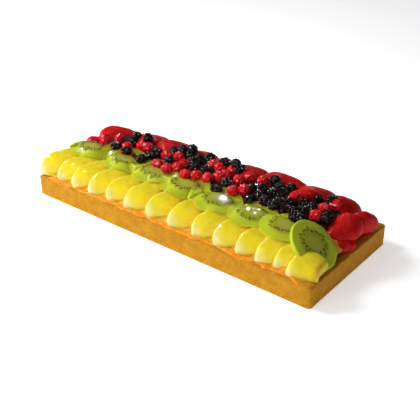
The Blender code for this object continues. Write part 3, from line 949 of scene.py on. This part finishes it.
draw = random.Random(7)
for name, places, radius, model, material in (
        ("raspberries", RASPBERRIES, 7.2, model_raspberry, raspberry_skin),
        ("brambles", BRAMBLES, 6.5, model_bramble, bramble_skin),
        ("currants", CURRANTS, 5.2, model_currant, currant_skin)):
    models = [model(k) for k in range(3)]
    spots = [[], [], []]
    for k, (x, y, lift) in enumerate(places):
        size = draw.uniform(0.95, 1.05) * MM
        z = (HEAP_Z + lift - HEAP_ROUND * (y - HEAP_MID) ** 2
             - END_FALL * max(0.0, x - END_FROM) ** 2)
        turn = Euler([math.radians(draw.uniform(-180, 180)) for _ in range(3)]).to_matrix().to_4x4()
        there = Matrix.Translation(Vector((x, y, z)) * MM)
        spots[k % 3].append(there @ turn @ Matrix.Scale(size, 4))
    kinds = [stamped("kind", one, matrices) for one, matrices in zip(models, spots)]
    heap = joined(kinds, name)
    for one in models:
        bpy.data.objects.remove(one)
    wear(heap, material)
    settle(heap, "berries", "berry_heap")
    print(name, len(places), "faces:", len(heap.data.polygons))

# %% [markdown]
# ## Glaze that has run into the gaps
#
# Clear glaze is brushed on warm. It gathers wherever two fruits meet and sets there, so no joint on
# the tart is a dark crack. Copies of the fruits are joined and fused by a voxel remesh, and then
# smoothed. Smoothing lowers what stands proud and fills what is hollow, so the fused skin shows only
# in the hollows, which is where the glaze lies.

# %% Fillets of glaze between the fruits
def tinted(skin_of, share, first, others, passes=6):
    """Writes at each point how near the first pieces are, 1 or 0, and blurs it over the skin."""
    points = [(v.co, value) for value, group in ((1.0, first), (0.0, others))
              for piece in group for v in list(piece.data.vertices)[::3]]
    tree_of = kdtree.KDTree(len(points))
    for k, (spot, _) in enumerate(points):
        tree_of.insert(spot, k)
    tree_of.balance()
    values = [points[tree_of.find(v.co)[1]][1] for v in skin_of.data.vertices]
    for _ in range(passes):
        total, count = values[:], [1] * len(values)
        for a, b in (edge.vertices for edge in skin_of.data.edges):
            total[a] += values[b]
            total[b] += values[a]
            count[a] += 1
            count[b] += 1
        values = [t / c for t, c in zip(total, count)]
    written = skin_of.data.attributes.new(share, "FLOAT", "POINT")
    written.data.foreach_set("value", values)


def glaze_between(name, voxel, passes, depth, share, first, others):
    """A fused, smoothed and slightly shrunken skin, which shows in the hollows only."""
    skin_of = fused_copy(name, first + others, voxel, passes)
    modify(skin_of, "DISPLACE", strength=-depth, mid_level=0.0)
    tinted(skin_of, share, first, others)
    return skin_of


fruit_glaze = glaze_between("fruit_glaze", 1.35 * MM, 20, 0.3 * MM, "kiwi_share", kiwi,
                            pineapple + [bed])
settle(fruit_glaze, "kiwi")
print("glaze faces:", len(fruit_glaze.data.polygons))

# %% Finish of the glaze and of the juice under the berries
gel, tree, shader = recipe("fruit_gel", Roughness=0.3, Subsurface_Weight=0.4,
                           Subsurface_Radius=(0.9, 1.0, 0.2), Subsurface_Scale=0.004,
                           Coat_Weight=0.25, Coat_Roughness=0.06, Coat_IOR=1.35,
                           Specular_IOR_Level=0.0)
where = millimetres(tree)
_, depth, _ = node(tree, "SeparateXYZ", {0: where}).outputs
wobble = maths(tree, "ADD", depth, maths(tree, "MULTIPLY", noise(tree, where, 10.0), 10.0))
colour = mixed(tree, span(tree, wobble, -68.0, -54.0), srgb(242, 176, 40), srgb(236, 196, 20))
near_kiwi = node(tree, "Attribute", attribute_name="kiwi_share").outputs["Fac"]
colour = mixed(tree, span(tree, near_kiwi, 0.1, 0.9), colour, srgb(188, 202, 40))
stain = span(tree, wobble, -14.0, 6.0, 0.0, 0.8)
colour = mixed(tree, stain, colour, srgb(110, 50, 20))
plug(tree, shader, Base_Color=colour,
     Normal=bumped(tree, noise(tree, where, 5.0, 1.0), 0.0008, 0.5))
wear(fruit_glaze, gel)

juice, *_ = two_tone("berry_juice", srgb(30, 5, 6), srgb(74, 12, 10), 5.0, 0.68,
                     (2.0, 1.0, 0.0004, 0.5), Roughness=0.2, Subsurface_Weight=0.1,
                     Subsurface_Radius=(1.0, 0.1, 0.1), Subsurface_Scale=0.002,
                     Coat_Weight=1.0, Coat_Roughness=0.02, Coat_IOR=1.4, Specular_IOR_Level=0.0)
wear(core, juice)
print("glaze finished")

# %% The orange glaze on the rim
RIM_GLAZE_LONG, RIM_GLAZE_WIDE = 352.0 * MM, 13.0 * MM

rim_glaze = begin(bpy.ops.mesh.primitive_cube_add, "rim_glaze", size=1.0,
                  location=(0, -74.2 * MM + RIM_GLAZE_WIDE / 2, CRUST_H - 0.4 * MM),
                  scale=(RIM_GLAZE_LONG, RIM_GLAZE_WIDE, 2.8 * MM))
edit(rim_glaze)
choose(rim_glaze, "EDGE", runs(0))
bpy.ops.mesh.subdivide(number_cuts=230)
choose(rim_glaze, "EDGE", runs(1))
bpy.ops.mesh.subdivide(number_cuts=7)
done()


def runny(point):
    """Gives the front edge of the glaze its uneven run, and lets its ends sink into the crust."""
    point.z -= 2.2 * MM * max(0.0, abs(point.x) / (10 * MM) - 16.5)
    front = max(0.0, (-66 * MM - point.y) / (8 * MM))
    wave = mathnoise.noise(Vector((point.x / (11 * MM), 0.3, 0.0)))
    wave += 0.5 * mathnoise.noise(Vector((point.x / (4 * MM), 4.3, 0.0)))
    ahead, down = front * (1.2 + 3.0 * wave) * MM, 0.5 * front * wave * MM
    return Vector((point.x, point.y + ahead, point.z - down))


move_points(rim_glaze, runny)
modify(rim_glaze, "SUBSURF", levels=1, render_levels=1)
roughen(rim_glaze, 5 * MM, 0.9 * MM)
orange, *_ = two_tone("orange_glaze", srgb(238, 140, 28), srgb(246, 170, 52), 6.0, 0.65,
                      (2.5, 3.0, 0.0006, 0.6), Roughness=0.25, Subsurface_Weight=0.4,
                      Subsurface_Radius=(1.0, 0.5, 0.1), Subsurface_Scale=0.003,
                      Coat_Weight=0.3, Coat_Roughness=0.08, Coat_IOR=1.35,
                      Specular_IOR_Level=0.0)
wear(rim_glaze, orange)
settle(rim_glaze, "custard")
print("rim glaze faces:", len(rim_glaze.data.polygons))

# %% [markdown]
# ## The picture
#
# The tart stands on a plain white table in soft studio light. The key light comes from the left, so
# the right-hand end falls into shade, and a wide fill keeps the front golden. Three small softboxes
# light nothing and only show in wet surfaces, where they make the white glints.

# %% Table, lights and camera
floor = begin(bpy.ops.mesh.primitive_plane_add, "table", size=8.0)
white, tree, shader = recipe("white_table", Roughness=0.6, Emission_Color=(1, 1, 1, 1),
                             Emission_Strength=0.52)
faint = noise(tree, millimetres(tree), 300.0)
plug(tree, shader, Base_Color=mixed(tree, faint, (0.92, 0.92, 0.92, 1), (0.94, 0.94, 0.94, 1)))
wear(floor, white)

world = bpy.data.worlds.new("studio")
world.use_nodes = True
world.node_tree.nodes["Background"].inputs["Color"].default_value = (1.0, 1.0, 1.0, 1.0)
world.node_tree.nodes["Background"].inputs["Strength"].default_value = 0.14
bpy.context.scene.world = world
bpy.context.scene.view_settings.view_transform = "Standard"

TARGET = Vector((0.0, 0.0, 0.03))


def softbox(name, place, size, power):
    lamp = bpy.data.lights.new(name, "AREA")
    lamp.shape, lamp.size, lamp.energy = "SQUARE", size, power
    stand = bpy.data.objects.new(name, lamp)
    stand.location = place
    stand.rotation_euler = (TARGET - Vector(place)).to_track_quat("-Z", "Y").to_euler()
    bpy.context.scene.collection.objects.link(stand)
    return stand


softbox("key", (-1.0, -0.3, 1.05), 0.5, 17.0)
softbox("front_fill", (-0.35, -1.35, 0.6), 0.9, 8.0).visible_glossy = False
for name, place, size, power in (("glint_back", (-0.52, 0.93, 0.68), 0.04, 2.5),
                                 ("glint_left", (-1.1, -0.5, 1.2), 0.10, 9.0),
                                 ("glint_high", (0.2, -0.3, 1.7), 0.10, 7.0)):
    softbox(name, place, size, power).visible_diffuse = False

camera = bpy.data.objects.new("camera", bpy.data.cameras.new("camera"))
camera.data.lens, camera.data.sensor_width = 62.35, 36.0
camera.location = (0.4503, -0.5517, 0.3998)
YAW, PITCH = 2.2422, 0.5027
way = Vector((math.cos(YAW) * math.cos(PITCH), math.sin(YAW) * math.cos(PITCH), -math.sin(PITCH)))
camera.rotation_euler = way.to_track_quat("-Z", "Y").to_euler()
bpy.context.scene.collection.objects.link(camera)
bpy.context.scene.camera = camera
print("lights and camera ready")

# %% [markdown]
# ## Clearing up
#
# The seed models were only stamped, so they are removed.

# %% Clear away the stamped models
for leftover in (seed, small_seed):
    bpy.data.objects.remove(leftover)
